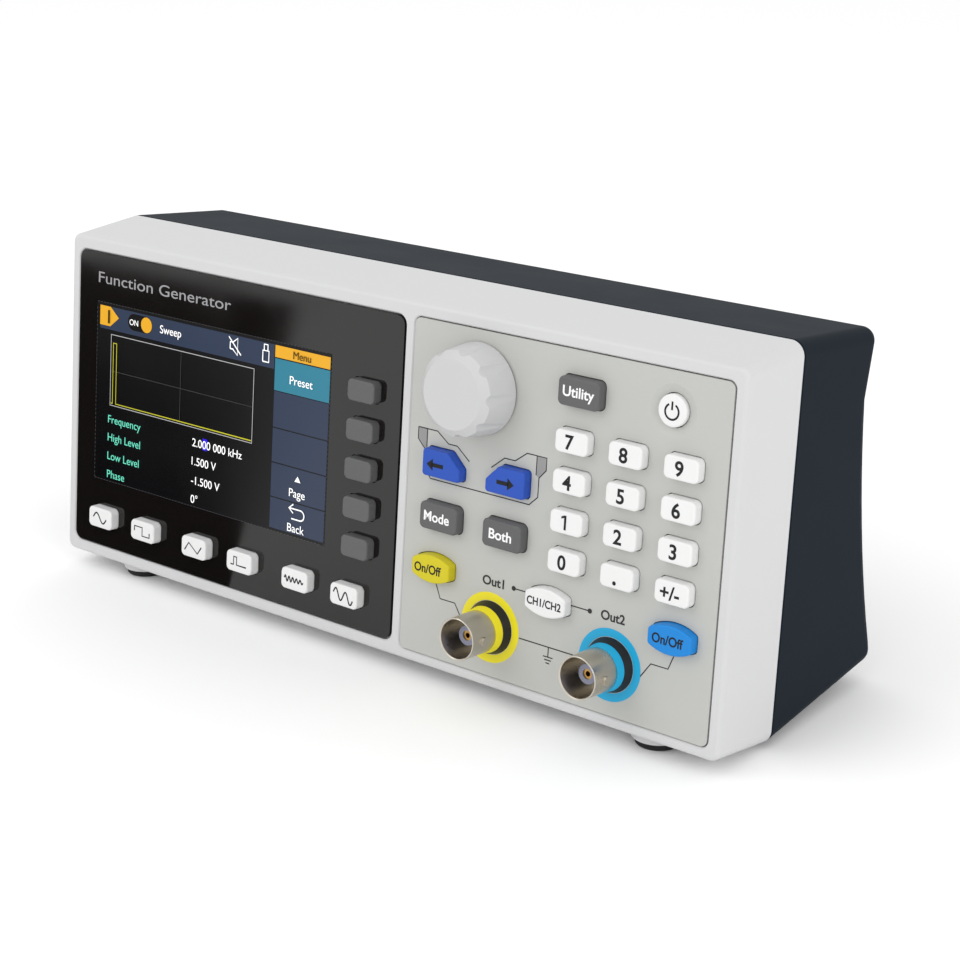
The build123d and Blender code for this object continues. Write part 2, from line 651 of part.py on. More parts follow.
os.makedirs("parts", exist_ok=True)
for name, shape in standing_nodes.items():
    export_step(centre * shape, f"parts/{name}.step")
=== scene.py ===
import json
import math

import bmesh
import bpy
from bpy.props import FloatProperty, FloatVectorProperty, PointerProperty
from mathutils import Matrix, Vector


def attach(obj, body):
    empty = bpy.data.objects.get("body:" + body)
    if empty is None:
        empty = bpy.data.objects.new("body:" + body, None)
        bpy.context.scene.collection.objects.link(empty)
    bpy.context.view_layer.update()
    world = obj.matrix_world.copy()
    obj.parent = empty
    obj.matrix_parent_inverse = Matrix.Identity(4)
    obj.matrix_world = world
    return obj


bl_info = {
    "name": "Function Generator Looks",
    "version": (1, 0, 0),
    "blender": (4, 5, 0),
    "location": "3D View > Sidebar > Generator",
    "description": "Finishes, legends, screen picture and studio for a bench function generator",
    "category": "Object",
}

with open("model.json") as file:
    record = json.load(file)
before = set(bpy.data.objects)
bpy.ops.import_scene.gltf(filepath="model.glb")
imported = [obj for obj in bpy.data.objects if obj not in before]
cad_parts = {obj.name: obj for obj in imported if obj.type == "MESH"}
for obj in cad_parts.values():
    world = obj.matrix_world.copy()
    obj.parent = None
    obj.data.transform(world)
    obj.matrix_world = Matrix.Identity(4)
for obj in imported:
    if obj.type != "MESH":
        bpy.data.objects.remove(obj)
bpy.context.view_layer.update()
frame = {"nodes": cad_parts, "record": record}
for plain in list(bpy.data.materials):
    bpy.data.materials.remove(plain)

# ------------------------------------------------------------------ the design frame
# The front is drawn flat: X across, Y into the case, Z up from the underside, in millimetres.
# The first output connector says how that drawing leans back and where it stands.
MM = 0.001
OUTPUT_X, OUTPUT_Z, OUTPUT_Y = (39.3, 71.7), 13.9, -8.0
BARREL = next(m for m in frame["record"]["mounts"] if m["name"] == "output_1_barrel")
LEAN = math.asin(BARREL["axis"][2])
TURN = Matrix.Rotation(-LEAN, 4, "X") @ Matrix.Scale(MM, 4)
START = Vector(BARREL["pos_m"]) - TURN @ Vector((OUTPUT_X[0], OUTPUT_Y, OUTPUT_Z))
DESIGN = Matrix.Translation(START) @ TURN
UPRIGHT = Matrix.Rotation(math.radians(90), 4, "X")

# How thick the ink is, and how far the keys' faces stand in front of the panel
INK = 0.03
KEY_FACE = 2.4
BUTTON_FACE = 0.6

# Where the keys are
SOFT_KEYS = [f"soft_key_{n}" for n in range(1, 6)]
WAVE_X = {"sine_key": -86.25, "square_key": -70.5, "ramp_key": -52.1, "pulse_key": -36.35,
          "noise_key": -17.95, "arbitrary_key": -2.2}
WAVE_Z = 11.35
NUMBERS = ["7", "8", "9", "4", "5", "6", "1", "2", "3", "0", "point", "sign"]
NUMBER_X, NUMBER_Z = 59.6, 60.5
NUMBER_PITCH_X, NUMBER_PITCH_Z = 13.8, 8.8
MENU_X, MENU_Z, ARROW_Z = (24.8, 42.7), 36.2, 48.35
LENS_Z = 24.0
POWER_X, POWER_Z = 82.95, 71.6

# Legends on the keys
NUMBER_SHIFT_X, NUMBER_SHIFT_Z = -0.35, 0.05
NUMBER_HEIGHT, NUMBER_WEIGHT = 3.2, 0.022
SIGN_HEIGHT, SIGN_WEIGHT = 3.0, 0.02
POINT_R, POINT_DROP = 0.45, 1.3
ONE_STEM = [(0.0, -1.6), (0.55, -1.6), (0.55, 1.6), (0.0, 1.6)]
ONE_FLAG = [(-0.75, 0.75), (0.0, 1.05), (0.0, 1.6), (-0.75, 1.25)]
WAVE_LINE = 0.38
WAVE_HALF, WAVE_SWING = 3.0, 1.25
ARROW_X = (23.2, 43.0)
ARROW_SHAFT = [(-2.35, -0.75), (-2.35, 0.15), (0.9, 0.15), (0.9, -0.75)]
ARROW_HEAD = [(0.6, -1.65), (2.35, -0.3), (0.6, 1.05)]
POWER_DROP = 0.2
POWER_LINE, POWER_ARC_R, POWER_ARC = 0.45, 1.65, (118, 422)
POWER_BAR = (0.35, 2.15)

# Words on the keys: key, slot, words, height, x, z, weight, width
PALE_WORDS = [
    ("utility_key", "grey_key", "Utility", 2.3, 60.75, 71.5, 0.018, 8.1),
    ("mode_key", "grey_key", "Mode", 2.3, MENU_X[0] - 0.35, MENU_Z + 0.1, 0.018, 7.2),
    ("both_key", "grey_key", "Both", 2.3, MENU_X[1] - 0.25, MENU_Z + 0.1, 0.018, 6.2),
]
DARK_WORDS = [
    ("output_1_key", "yellow_key", "On/Off", 2.1, 22.7, LENS_Z, 0.02, 7.7),
    ("output_2_key", "sky_key", "On/Off", 2.1, 87.2, LENS_Z, 0.02, 7.7),
    ("channel_key", "white_key", "CH1/CH2", 1.8, 55.3, LENS_Z, 0.02, 9.1),
]

# Prints on the keypad panel
PANEL_LINES = [
    [(16.1, 55.2), (21.6, 55.2), (24.9, 52.9), (27.4, 52.9), (31.0, 50.1)],
    [(16.1, 55.2), (16.1, 52.5), (18.2, 50.5)],
    [(18.7, 55.2), (18.7, 51.0)],
    [(37.2, 50.1), (40.7, 52.9), (43.6, 52.9), (46.7, 55.2), (52.0, 55.2), (52.0, 52.4), (50.2, 50.4),
     (50.2, 46.1), (48.0, 44.0), (20.2, 44.0), (19.3, 45.0)],
    [(49.4, 55.2), (49.4, 50.9)],
    [(23.3, 20.5), (24.85, 16.95), (29.1, 16.95), (31.0, 14.1)],
    [(87.7, 20.4), (86.4, 16.95), (82.1, 16.95), (79.7, 13.5)],
    [(45.3, 24.4), (50.0, 24.4)],
    [(60.8, 24.4), (65.8, 24.4)],
    [(47.5, 13.55), (63.6, 13.55)],
    [(55.6, 13.55), (55.6, 11.3)],
    [(54.3, 11.3), (56.9, 11.3)],
    [(54.7, 10.6), (56.5, 10.6)],
    [(55.1, 9.9), (56.1, 9.9)],
]
PANEL_DOTS, PANEL_DOT_R = [(45.3, 24.4), (65.8, 24.4)], 0.55
OUTPUT_WORDS = [("Out1", 39.6, 6.0), ("Out2", 71.8, 6.2)]
OUTPUT_WORD_HEIGHT, OUTPUT_WORD_Z, OUTPUT_WORD_WEIGHT = 2.1, 24.6, 0.022
PANEL_CORNERS = [
    [(16.1, 52.5), (18.2, 50.5), (18.7, 51.0), (18.7, 55.2), (16.1, 55.2)],
    [(49.4, 50.9), (50.2, 50.4), (52.0, 52.4), (52.0, 55.2), (49.4, 55.2)],
]
BAND_R, BAND_HOLE = 8.05, 6.2

# Title on the window
TITLE, TITLE_HEIGHT, TITLE_X, TITLE_Z, TITLE_WIDTH = "Function Generator", 2.9, -91.0, 73.4, 47.0

# Picture on the screen
GROUND = (-91.2, -10.9, 20.9, 67.1)
EDGE_X, EDGE_Z, EDGE_START = (-91.2, -10.95), (20.95, 67.1), (-91.0, 21.0)
EDGE_DASH, EDGE_GAP, EDGE_LINE = 0.55, 1.1, 0.16
EDGE_WIDE, EDGE_TALL = 80, 46
MENU_LEFT, MENU_RIGHT = -28.7, -11.1
MENU_CENTRE = -19.9
TITLE_BAR = (-90.0, -29.0, 60.4, 66.3)
MENU_ITEMS = [(46.5, 55.2), (38.0, 46.2), (29.5, 37.7), (21.7, 29.2)]
CHOSEN_ITEM, MENU_HEADING = (55.4, 63.1), (63.4, 66.3)
TAG = [(-90.0, 61.3), (-86.2, 61.3), (-83.1, 63.8), (-86.2, 66.3), (-90.0, 66.3)]
SWITCH_LEFT, SWITCH_RIGHT, SWITCH_Z, SWITCH_R = -77.6, -73.1, 63.7, 2.1
SWITCH_KNOB_X, SWITCH_KNOB_R = -73.0, 1.95
CROSS = [[(-60.4, 41.2), (-60.4, 59.1)], [(-85.5, 49.9), (-35.6, 49.9)]]
CROSS_LINE = 0.16
BORDER = [(-85.7, 41.0), (-35.4, 41.0), (-35.4, 59.3), (-85.7, 59.3)]
BORDER_LINE = 0.26
TRACE = [(-85.4, 41.6), (-84.8, 41.6), (-84.8, 57.2), (-83.6, 57.2), (-83.6, 41.6), (-35.6, 41.6)]
TRACE_LINE = 0.30
ROWS = [("Frequency", "2.000 000 kHz", 37.4), ("High Level", "1.500 V", 32.7),
        ("Low Level", "-1.500 V", 27.8), ("Phase", "0°", 23.0)]
ROW_HEIGHT, NAME_X, VALUE_X = 2.1, -86.2, -55.5
CURSOR = (-51.9, -50.3, 36.0, 38.9)
MENU_WORDS = [("Preset", 58.8), ("Page", 31.8), ("Back", 23.2)]
PAGE_MARK = [(-20.8, 34.6), (-18.9, 34.6), (-19.85, 36.0)]
BACK_BEND_R, BACK_BEND = 1.25, (-18.6, 26.65)
BACK_TOP, BACK_END = [(-22.2, 27.9), (-18.6, 27.9)], (-21.4, 25.4)
ICONS = [
    [(-20.9, 29.0), (-22.3, 27.9), (-20.9, 26.8)],
    [(-43.5, 62.9), (-42.6, 62.9), (-41.0, 61.6), (-41.0, 65.8), (-42.6, 64.6), (-43.5, 64.6), (-43.5, 62.9)],
    [(-44.0, 65.8), (-39.8, 61.8)],
    [(-32.6, 61.7), (-30.6, 61.7), (-30.6, 64.4), (-32.6, 64.4), (-32.6, 61.7)],
    [(-32.2, 64.5), (-32.2, 65.9), (-31.0, 65.9), (-31.0, 64.5)],
]
ICON_LINE = 0.34
DIM_GLOW, EDGE_GLOW = 0.1, 0.3

# Studio, in metres, and the camera, in the design frame's millimetres
FLOOR_SIZE = 6.0
KEY_LIGHT_PLACE, KEY_LIGHT_SIZE = (-0.35, -0.75, 0.75), 0.7
FILL_LIGHT_PLACE, FILL_LIGHT_SIZE = (0.95, -0.25, 0.40), 0.6
LIGHT_AIM = Vector((0, 0, 0.04))
FLAG_CORNERS = [(-50.0, -8.0), (-489.5, -502.0), (-1500.0, -502.0), (-1500.0, -8.0)]
FLAG_HEIGHT = 0.002
CAMERA_PLACE, CAMERA_FACING = Vector((304.65, -349.62, 166.31)), Vector((-0.5895, 0.7829, -0.1989))
CAMERA_SENSOR, CAMERA_SHIFT, CAMERA_NEAR = 36.0, (-0.0354, -0.1375), 0.01


# ------------------------------------------------------------------ settings
def colour(label, description, default):
    return FloatVectorProperty(name=label, description=description, subtype="COLOR", size=3,
                               min=0.0, max=1.0, default=default)


class GeneratorCaseSettings(bpy.types.PropertyGroup):
    frame_colour: colour("Frame", "Light plastic of the front frame", (0.575, 0.575, 0.58))
    rear_colour: colour("Rear case", "Dark plastic of the rear case", (0.0075, 0.0125, 0.019))
    panel_colour: colour("Panel", "Warm grey of the keypad panel", (0.46, 0.465, 0.44))
    window_colour: colour("Window", "Black of the glossy window", (0.006, 0.0050, 0.0045))
    foot_colour: colour("Feet", "Rubber of the feet", (0.015, 0.015, 0.016))


class GeneratorKeySettings(bpy.types.PropertyGroup):
    white: colour("White keys", "Number and waveform keys", (0.74, 0.74, 0.735))
    grey: colour("Grey keys", "Softkeys and menu keys", (0.105, 0.105, 0.107))
    blue: colour("Arrow keys", "Left and right keys", (0.018, 0.075, 0.42))
    yellow: colour("Output 1 key", "Yellow of the first output", (0.58, 0.50, 0.010))
    sky: colour("Output 2 key", "Blue of the second output", (0.006, 0.21, 0.60))
    ink: colour("Legend", "Dark legend ink", (0.006, 0.006, 0.007))
    knob: colour("Knob", "Plastic of the knob", (0.52, 0.52, 0.525))


class GeneratorPrintSettings(bpy.types.PropertyGroup):
    line: FloatProperty(name="Line width", description="Width of the printed lines, in millimetres",
                        default=0.26, min=0.1, max=1.0)
    line_colour: colour("Line", "Grey of the printed lines", (0.022, 0.022, 0.022))
    shade_colour: colour("Shade", "Grey of the printed corners", (0.27, 0.27, 0.27))
    ring_1: colour("Ring 1", "Yellow ring round the first output", (0.78, 0.68, 0.018))
    ring_2: colour("Ring 2", "Blue ring round the second output", (0.014, 0.36, 0.62))


class GeneratorScreenSettings(bpy.types.PropertyGroup):
    glow: FloatProperty(name="Glow", description="Brightness of the lit picture",
                        default=0.35, min=0.0, max=5.0)
    bar: colour("Bars", "Navy of the title bar and menu", (0.020, 0.030, 0.058))
    amber: colour("Amber", "Tag, switch and menu heading", (0.58, 0.29, 0.012))
    teal: colour("Teal", "Chosen menu item", (0.020, 0.150, 0.215))
    mint: colour("Mint", "Names of the values", (0.115, 0.56, 0.40))
    trace: colour("Trace", "Line of the waveform", (0.42, 0.40, 0.02))


class GeneratorStageSettings(bpy.types.PropertyGroup):
    lens: FloatProperty(name="Lens", description="Camera focal length, in millimetres",
                        default=77.96, min=20, max=200)
    key_power: FloatProperty(name="Key light", description="Power of the main light",
                             default=2.5, min=0, subtype="POWER")
    fill_power: FloatProperty(name="Fill light", description="Power of the side light",
                              default=2.0, min=0, subtype="POWER")
    world: FloatProperty(name="World", description="Brightness of the surroundings", default=1.0, min=0)


# ------------------------------------------------------------------ materials
GRAIN_DEPTH, GRAIN_DETAIL = 0.03 * MM, 3.0
MOTTLE_SCALE, MOTTLE_DETAIL = 60.0, 4.0
GLOSS_SPREAD, SMOOTHEST = 0.05, 0.02


def noise(nodes, links, place, scale, detail):
    texture = nodes.new("ShaderNodeTexNoise")
    texture.inputs["Scale"].default_value = scale
    texture.inputs["Detail"].default_value = detail
    links.new(place.outputs["Object"], texture.inputs["Vector"])
    return texture.outputs["Fac"]


def plastic(name, base, roughness, grain=0.25, grain_size=0.35, mottle=0.04, metal=0.0, shine=0.3):
    """Moulded or turned stock: fine grain in the relief, with slight change of colour and gloss."""
    material = bpy.data.materials.new(name)
    material.use_nodes = True
    nodes, links = material.node_tree.nodes, material.node_tree.links
    shader = nodes["Principled BSDF"]
    shader.inputs["Metallic"].default_value = metal
    shader.inputs["Specular IOR Level"].default_value = shine
    place = nodes.new("ShaderNodeTexCoord")

    bump = nodes.new("ShaderNodeBump")
    bump.inputs["Strength"].default_value = grain
    bump.inputs["Distance"].default_value = GRAIN_DEPTH
    links.new(noise(nodes, links, place, 1.0 / (grain_size * MM), GRAIN_DETAIL), bump.inputs["Height"])
    links.new(bump.outputs["Normal"], shader.inputs["Normal"])

    broad = noise(nodes, links, place, MOTTLE_SCALE, MOTTLE_DETAIL)
    tint = nodes.new("ShaderNodeMix")
    tint.data_type = "RGBA"
    tint.inputs[6].default_value = [c * (1 - mottle) for c in base] + [1.0]
    tint.inputs[7].default_value = [min(1.0, c * (1 + mottle)) for c in base] + [1.0]
    links.new(broad, tint.inputs["Factor"])
    links.new(tint.outputs[2], shader.inputs["Base Color"])
    gloss = nodes.new("ShaderNodeMapRange")
    gloss.inputs["To Min"].default_value = max(SMOOTHEST, roughness - GLOSS_SPREAD)
    gloss.inputs["To Max"].default_value = roughness + GLOSS_SPREAD
    links.new(broad, gloss.inputs["Value"])
    links.new(gloss.outputs["Result"], shader.inputs["Roughness"])
    return material


def lit(name, base, glow):
    """A lit patch of the screen."""
    material = plastic(name, base, roughness=0.25, grain=0.05, mottle=0.02)
    nodes, links = material.node_tree.nodes, material.node_tree.links
    shader = nodes["Principled BSDF"]
    links.new(nodes["Mix"].outputs[2], shader.inputs["Emission Color"])
    shader.inputs["Emission Strength"].default_value = glow
    return material


def printed(name, base):
    return plastic(name, base, roughness=0.5, grain=0.1)


def bright_metal():
    return plastic("bright_metal", (0.55, 0.55, 0.56), roughness=0.30, grain=0.15, grain_size=0.20,
                   mottle=0.05, metal=1.0)


def nickel():
    return plastic("nickel", (0.56, 0.52, 0.45), roughness=0.28, grain=0.10, grain_size=0.5,
                   mottle=0.06, metal=1.0)


def black_plastic():
    return plastic("black_plastic", (0.012, 0.012, 0.012), roughness=0.45, grain=0.2)


def ring_paint(name, base):
    return plastic(name, base, roughness=0.40, grain=0.10)


def insulator():
    return plastic("insulator", (0.26, 0.27, 0.36), roughness=0.35, grain=0.10)


def contact_brass():
    return plastic("contact_brass", (0.52, 0.30, 0.09), roughness=0.28, grain=0.1, metal=1.0)


def coloured_key(name, base):
    return plastic(name, base, roughness=0.45, grain=0.20, grain_size=0.3, mottle=0.03)


def circuit_board():
    return plastic("circuit_board", (0.008, 0.10, 0.035), roughness=0.35, grain=0.2, grain_size=0.6,
                   mottle=0.15)


def stage_paper(name, base):
    return plastic(name, base, roughness=0.9, grain=0.1, grain_size=2.0, mottle=0.0, shine=0.0)


def paint(node_names, material):
    for name in node_names:
        node = frame["nodes"][name]
        node.data.materials.clear()
        node.data.materials.append(material)


# ------------------------------------------------------------------ making pieces
# The built-in font's capitals, as a share of its size, and how deep its letters are drawn
CAPITAL = 0.72
LETTER_DEPTH = 0.001
STROKE_ROUNDNESS = 2
ARC_STEPS = 32
DISC_SEGMENTS = 96


def keep(mesh, name, body, material):
    """Makes a mesh drawn in the design frame a piece that rides on a body."""
    mesh.transform(DESIGN)
    mesh.name = name
    mesh.materials.clear()
    mesh.materials.append(material)
    piece = bpy.data.objects.new(name, mesh)
    bpy.context.scene.collection.objects.link(piece)
    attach(piece, body)


def from_curve(data):
    """The mesh of a curve or of text, before anything places it."""
    holder = bpy.data.objects.new("outline", data)
    bpy.context.scene.collection.objects.link(holder)
    depsgraph = bpy.context.evaluated_depsgraph_get()
    mesh = bpy.data.meshes.new_from_object(holder.evaluated_get(depsgraph))
    bpy.data.objects.remove(holder)
    return mesh


def to_mesh(bm, name):
    bmesh.ops.recalc_face_normals(bm, faces=bm.faces)
    mesh = bpy.data.meshes.new(name)
    bm.to_mesh(mesh)
    bm.free()
    return mesh


def raise_faces(bm, faces, way):
    """Gives flat faces the thickness of the ink."""
    grown = bmesh.ops.extrude_face_region(bm, geom=faces)
    risen = [v for v in grown["geom"] if isinstance(v, bmesh.types.BMVert)]
    bmesh.ops.translate(bm, verts=risen, vec=way)


def stroke(paths, width, closed=False):
    """Lines of one width, as a thin print with round ends and corners, in X and Z."""
    data = bpy.data.curves.new("stroke", "CURVE")
    data.dimensions = "3D"
    data.bevel_depth = width / 2
    data.bevel_resolution = STROKE_ROUNDNESS
    data.use_fill_caps = True
    for path in paths:
        spline = data.splines.new("POLY")
        spline.points.add(len(path) - 1)
        spline.use_cyclic_u = closed
        for point, (x, z) in zip(spline.points, path):
            point.co = (x, 0, z, 1)
    mesh = from_curve(data)
    mesh.transform(Matrix.Diagonal((1, INK / width, 1, 1)))
    return mesh


def text(words, height, x, z, weight=0.0, align="CENTER", width=None):
    """Lettering whose capitals have a height, centred up and down on z."""
    data = bpy.data.curves.new("text", "FONT")
    data.body = words
    data.size = 1.0
    data.offset = weight
    data.extrude = LETTER_DEPTH
    data.align_x = "LEFT"
    mesh = from_curve(data)
    xs = [v.co.x for v in mesh.vertices]
    scale = height / CAPITAL
    stretch = scale if width is None else width / (max(xs) - min(xs))
    anchor = {"LEFT": min(xs), "CENTER": (min(xs) + max(xs)) / 2}[align]
    mesh.transform(Matrix.Translation((-anchor, -CAPITAL / 2, 0)))
    mesh.transform(Matrix.Diagonal((stretch, scale, INK / (2 * LETTER_DEPTH), 1)))
    mesh.transform(UPRIGHT)
    mesh.transform(Matrix.Translation((x, 0, z)))
    return mesh


def patch(points, at=(0.0, 0.0)):
    """A flat printed shape from its corners, in X and Z."""
    bm = bmesh.new()
    face = bm.faces.new([bm.verts.new((at[0] + x, 0, at[1] + z)) for x, z in points])
    raise_faces(bm, [face], (0, -INK, 0))
    return to_mesh(bm, "patch")


def panel_rectangle(low_x, high_x, low_z, high_z):
    return patch([(low_x, low_z), (high_x, low_z), (high_x, high_z), (low_x, high_z)])


def disc(radius, x, z, hole=0.0):
    """A flat printed disc or ring."""
    bm = bmesh.new()
    bmesh.ops.create_circle(bm, cap_ends=hole == 0.0, radius=radius, segments=DISC_SEGMENTS)
    if hole:
        inner = bmesh.ops.extrude_edge_only(bm, edges=list(bm.edges))
        moved = [v for v in inner["geom"] if isinstance(v, bmesh.types.BMVert)]
        bmesh.ops.scale(bm, verts=moved, vec=(hole / radius, hole / radius, 1))
    raise_faces(bm, list(bm.faces), (0, 0, INK))
    mesh = to_mesh(bm, "disc")
    mesh.transform(Matrix.Translation((x, 0, z)) @ UPRIGHT)
    return mesh


def joined(meshes, forward):
    """Several prints as one mesh, brought in front of the panel."""
    bm = bmesh.new()
    for mesh in meshes:
        bm.from_mesh(mesh)
    whole = bpy.data.meshes.new("print")
    bm.to_mesh(whole)
    bm.free()
    whole.transform(Matrix.Translation((0, -forward, 0)))
    return whole


def arc(radius, start, end, x=0.0, z=0.0):
    angles = [math.radians(start + (end - start) * n / ARC_STEPS) for n in range(ARC_STEPS + 1)]
    return [(x + radius * math.cos(a), z + radius * math.sin(a)) for a in angles]


# ------------------------------------------------------------------ parts of the screen picture
def screen_edge():
    """The dashed line round the picture."""
    start_x, start_z = EDGE_START
    dashes_x = [start_x + EDGE_GAP * n for n in range(int(EDGE_WIDE / EDGE_GAP))]
    dashes_z = [start_z + EDGE_GAP * n for n in range(int(EDGE_TALL / EDGE_GAP))]
    across = [[(x, z), (x + EDGE_DASH, z)] for z in EDGE_Z for x in dashes_x]
    up = [[(x, z), (x, z + EDGE_DASH)] for x in EDGE_X for z in dashes_z]
    return [stroke(across + up, EDGE_LINE)]


def menu_bar(span):
    return panel_rectangle(MENU_LEFT, MENU_RIGHT, *span)


def switch_body():
    left = arc(SWITCH_R, 90, 270, SWITCH_LEFT, SWITCH_Z)
    return patch(left + arc(SWITCH_R, -90, 90, SWITCH_RIGHT, SWITCH_Z))


def row_names():
    return [text(name, ROW_HEIGHT, NAME_X, z, align="LEFT") for name, value, z in ROWS]


def screen_words():
    words = [text(value, ROW_HEIGHT, VALUE_X, z, align="LEFT") for name, value, z in ROWS]
    words += [text("Sweep", 2.1, -67.9, SWITCH_Z, align="LEFT"), text("ON", 1.5, -77.4, SWITCH_Z)]
    words += [text(word, ROW_HEIGHT, MENU_CENTRE, z) for word, z in MENU_WORDS]
    back = BACK_TOP + arc(BACK_BEND_R, 90, -90, *BACK_BEND) + [BACK_END]
    return words + [patch(PAGE_MARK), stroke([back] + ICONS, ICON_LINE)]


def screen_layers(settings):
    """What the picture is made of, from the back: name, meshes, colour and glow."""
    glow = settings.glow
    amber = [patch(TAG), menu_bar(MENU_HEADING), disc(SWITCH_KNOB_R, SWITCH_KNOB_X, SWITCH_Z)]
    dark_words = [text("1", 3.4, -86.6, 63.8, weight=0.02), text("Menu", 1.9, MENU_CENTRE, 64.9)]
    return [
        ("ground", [panel_rectangle(*GROUND)], (0.0015, 0.0015, 0.002), DIM_GLOW),
        ("edge", screen_edge(), (0.05, 0.05, 0.055), EDGE_GLOW),
        ("bars", [panel_rectangle(*TITLE_BAR)] + [menu_bar(item) for item in MENU_ITEMS], settings.bar, glow),
        ("chosen", [menu_bar(CHOSEN_ITEM)], settings.teal, glow),
        ("switch", [switch_body()], (0.001, 0.001, 0.001), DIM_GLOW),
        ("amber", amber, settings.amber, glow),
        ("cross", [stroke(CROSS, CROSS_LINE)], (0.035, 0.035, 0.035), glow),
        ("border", [stroke([BORDER], BORDER_LINE, closed=True)], (0.36, 0.36, 0.36), glow),
        ("trace", [stroke([TRACE], TRACE_LINE)], settings.trace, glow),
        ("names", row_names(), settings.mint, glow),
        ("cursor", [panel_rectangle(*CURSOR)], (0.020, 0.008, 0.55), glow),
        ("words", screen_words(), (0.86, 0.86, 0.86), glow),
        ("dark_words", dark_words, (0.03, 0.016, 0.002), glow),
    ]


# ------------------------------------------------------------------ legends
def legend(key, meshes, material, forward=KEY_FACE):
    keep(joined(meshes, forward + INK / 2), f"{key}_legend", key, material)


def number_mark(name, x, z):
    if name == "point":
        return disc(POINT_R, x, z - POINT_DROP)
    if name == "sign":
        return text("+/-", SIGN_HEIGHT, x, z, SIGN_WEIGHT)
    if name == "1":
        return joined([patch(ONE_FLAG, at=(x, z)), patch(ONE_STEM, at=(x, z))], 0.0)
    return text(name, NUMBER_HEIGHT, x, z, NUMBER_WEIGHT)


def number_legends(ink):
    for place, name in enumerate(NUMBERS):
        x = NUMBER_X + NUMBER_SHIFT_X + NUMBER_PITCH_X * (place % 3)
        z = NUMBER_Z + NUMBER_SHIFT_Z - NUMBER_PITCH_Z * (place // 3)
        legend(f"number_key_{name}", [number_mark(name, x, z)], ink)


def wave_shapes():
    """One waveform for each key under the screen, about the key's centre."""
    turns = [n / 40 for n in range(41)]
    sweep = [-WAVE_HALF + 2 * WAVE_HALF * t for t in turns]
    sine = [(-2.4 + 4.8 * t, WAVE_SWING * math.sin(2 * math.pi * t)) for t in turns]
    noisy = [(x, (0.75 - 0.3 * t) * math.sin(10 * math.pi * t)) for x, t in zip(sweep, turns)]
    falling = [(x, 0.4 - t + WAVE_SWING * math.sin(4 * math.pi * t)) for x, t in zip(sweep, turns)]
    return {
        "sine_key": sine,
        "square_key": [(-2.7, -0.2), (-2.7, 1.05), (0.1, 1.05), (0.1, -1.15), (2.7, -1.15), (2.7, 0.0)],
        "ramp_key": [(-2.9, -1.0), (-1.5, 1.1), (1.6, -1.2), (2.9, 0.7)],
        "pulse_key": [(-2.6, -0.8), (-1.6, -0.8), (-1.6, 1.2), (-0.6, 1.2), (-0.6, -0.8), (2.6, -0.8)],
        "noise_key": noisy,
        "arbitrary_key": falling,
    }


def wave_legends(ink):
    for key, path in wave_shapes().items():
        moved = [(WAVE_X[key] + x, WAVE_Z + z) for x, z in path]
        legend(key, [stroke([moved], WAVE_LINE)], ink)


def word_legends(table, ink):
    for key, slot, words, height, x, z, weight, width in table:
        legend(key, [text(words, height, x, z, weight, width=width)], ink)


def arrow_legends(ink):
    for key, x, way in (("left_key", ARROW_X[0], -1), ("right_key", ARROW_X[1], 1)):
        shapes = [[(way * u, v) for u, v in part] for part in (ARROW_SHAFT, ARROW_HEAD)]
        legend(key, [patch(shape, at=(x, ARROW_Z)) for shape in shapes], ink)


def power_legend(ink):
    x, z = POWER_X, POWER_Z - POWER_DROP
    bar = [(x, z + height) for height in POWER_BAR]
    symbol = [arc(POWER_ARC_R, *POWER_ARC, x, z), bar]
    legend("power_button", [stroke(symbol, POWER_LINE)], ink, forward=BUTTON_FACE)


# ------------------------------------------------------------------ operators
class GENERATOR_OT_case(bpy.types.Operator):
    """Finish the two case halves, the feet and the screws"""
    bl_idname = "generator.case"
    bl_label = "Case"

    def execute(self, context):
        settings = context.scene.generator_case
        paint(["front_frame"], plastic("frame_plastic", settings.frame_colour, roughness=0.42, grain=0.18,
                                       grain_size=0.30, mottle=0.015))
        paint(["rear_case"], plastic("case_plastic", settings.rear_colour, roughness=0.60, grain=0.45,
                                     grain_size=0.45, mottle=0.06, shine=0.06))
        paint(["rubber_feet"], plastic("foot_rubber", settings.foot_colour, roughness=0.80, grain=0.50,
                                       grain_size=0.60, mottle=0.08))
        paint(["case_screws"], bright_metal())
        return {"FINISHED"}


class GENERATOR_OT_window(bpy.types.Operator):
    """Finish the black window and the plain name of the instrument on it"""
    bl_idname = "generator.window"
    bl_label = "Window"

    def execute(self, context):
        settings = context.scene.generator_case
        paint(["display_window"], plastic("window_gloss", settings.window_colour, roughness=0.08, grain=0.01,
                                          grain_size=0.8, mottle=0.10, shine=0.5))
        title = text(TITLE, TITLE_HEIGHT, TITLE_X, TITLE_Z, align="LEFT", width=TITLE_WIDTH)
        ink = printed("window_ink", (0.30, 0.30, 0.31))
        keep(joined([title], INK), "window_title", "case", ink)
        return {"FINISHED"}


class GENERATOR_OT_screen(bpy.types.Operator):
    """Draw the picture on the screen"""
    bl_idname = "generator.screen"
    bl_label = "Screen"

    def execute(self, context):
        layers = screen_layers(context.scene.generator_screen)
        for depth, (name, meshes, base, glow) in enumerate(layers, start=1):
            material = lit(f"screen_{name}", base, glow)
            keep(joined(meshes, INK * depth), f"screen_{name}", "case", material)
        return {"FINISHED"}


